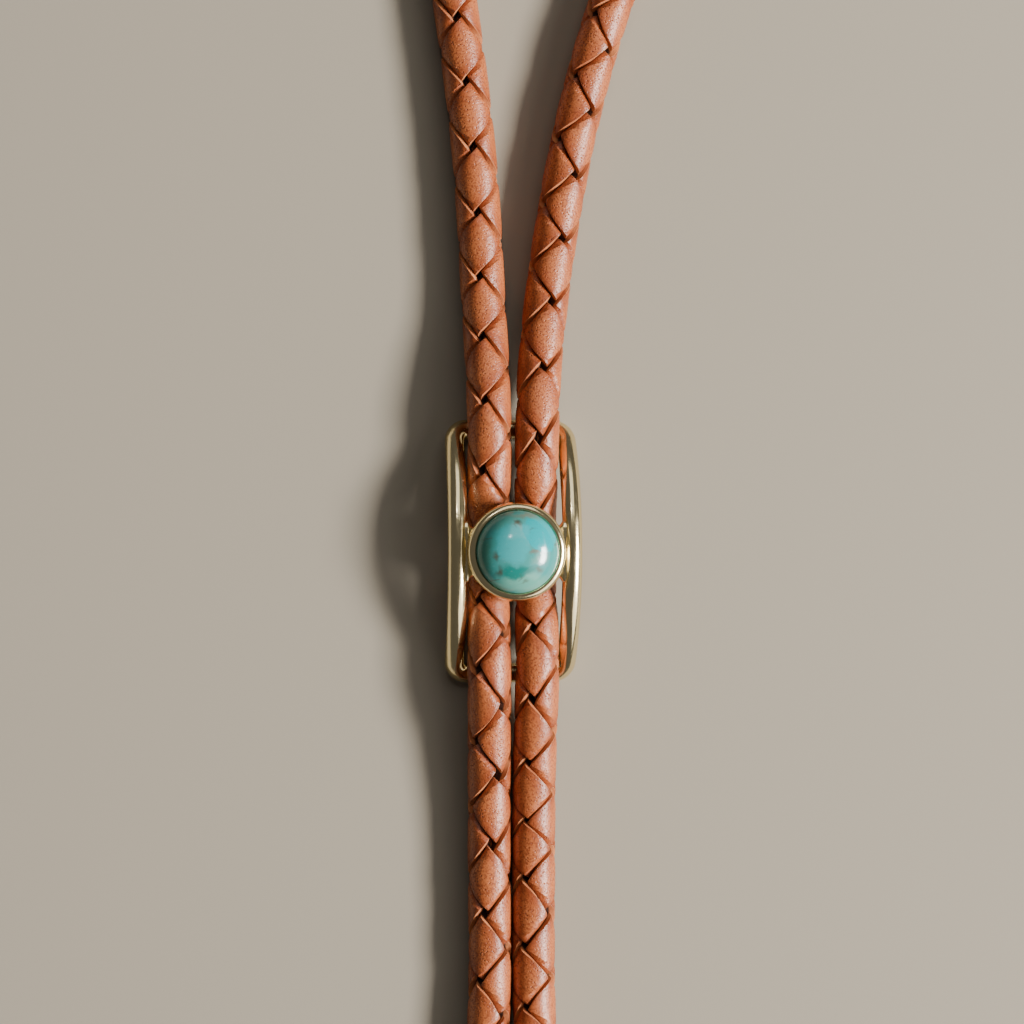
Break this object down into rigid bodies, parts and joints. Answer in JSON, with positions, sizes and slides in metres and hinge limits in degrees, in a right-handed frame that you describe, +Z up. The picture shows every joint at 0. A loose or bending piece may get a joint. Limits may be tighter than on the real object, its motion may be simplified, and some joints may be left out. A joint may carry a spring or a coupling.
{
  "type": "bolo tie",
  "caption": "Bolo tie: braided leather cord worn as a neck loop, closed by an arched wire slide set with a domed round stone, a tapered metal tip on each free end.",
  "frame": {"origin": "centre of the tie's footprint on the surface it lies on", "axes": "+Z up, away from the wearer; +Y from the free ends through the slide to the back of the neck; +X to the right as seen from the front"},
  "size_m": [0.1318, 0.4124, 0.0118],
  "materials": {
    "braided_leather": "four-strand round braid of tan leather laces, soft sheen",
    "brass": "polished pale brass with fine wear",
    "turquoise": "polished turquoise with darker bands and brown matrix"
  },
  "bodies": {
    "root": {"braided_cord": "braided_leather", "slide_frame": "brass", "cabochon": "turquoise", "cord_tip_left": "brass", "cord_tip_right": "brass"}
  },
  "joints": []
}
